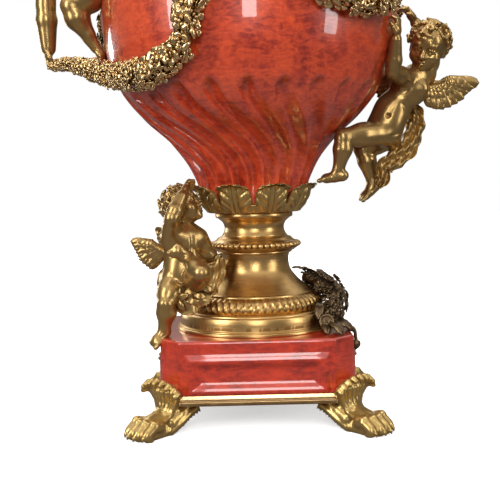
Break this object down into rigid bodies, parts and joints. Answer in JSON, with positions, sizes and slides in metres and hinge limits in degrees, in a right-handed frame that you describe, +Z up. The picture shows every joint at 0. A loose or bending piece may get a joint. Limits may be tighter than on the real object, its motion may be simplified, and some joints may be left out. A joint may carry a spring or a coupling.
{
  "type": "mantel urn",
  "caption": "Red glazed porcelain mantel urn with spiral flutes on a paw-footed plinth, mounted in gilt bronze with leaf cup, garlands, winged boys, flower spray and lid",
  "frame": {"origin": "centre of the bounding box on the surface the paws stand on, which is the urn's axis", "axes": "+Z up along the urn's axis, -Y towards the front of the plinth, +X to the viewer's right"},
  "size_m": [0.4523, 0.308, 0.6158],
  "materials": {
    "porcelain": "high gloss red glaze with darker mottling",
    "polished_brass": "polished, brushed round the axis",
    "antique_gilt": "satin antique gilt with dark recesses",
    "aged_bronze": "polished highlights over brown patina",
    "dark_bronze": "dark brown patina"
  },
  "bodies": {
    "root": {"paw_front_right": "antique_gilt", "paw_back_right": "antique_gilt", "paw_back_left": "antique_gilt", "paw_front_left": "antique_gilt", "base_frame": "antique_gilt", "plinth": "porcelain", "foot": "polished_brass", "beaded_knop": "polished_brass", "throat": "polished_brass", "leaf_cup": "antique_gilt", "urn_body": "porcelain", "neck_collar": "polished_brass", "neck": "porcelain", "rim": "polished_brass", "lid": "porcelain", "finial": "antique_gilt", "boy_climbing": "aged_bronze", "boy_leaning": "aged_bronze", "boy_sitting": "aged_bronze", "garland_front": "antique_gilt", "garland_back": "antique_gilt", "flower_spray": "dark_bronze"}
  },
  "joints": []
}
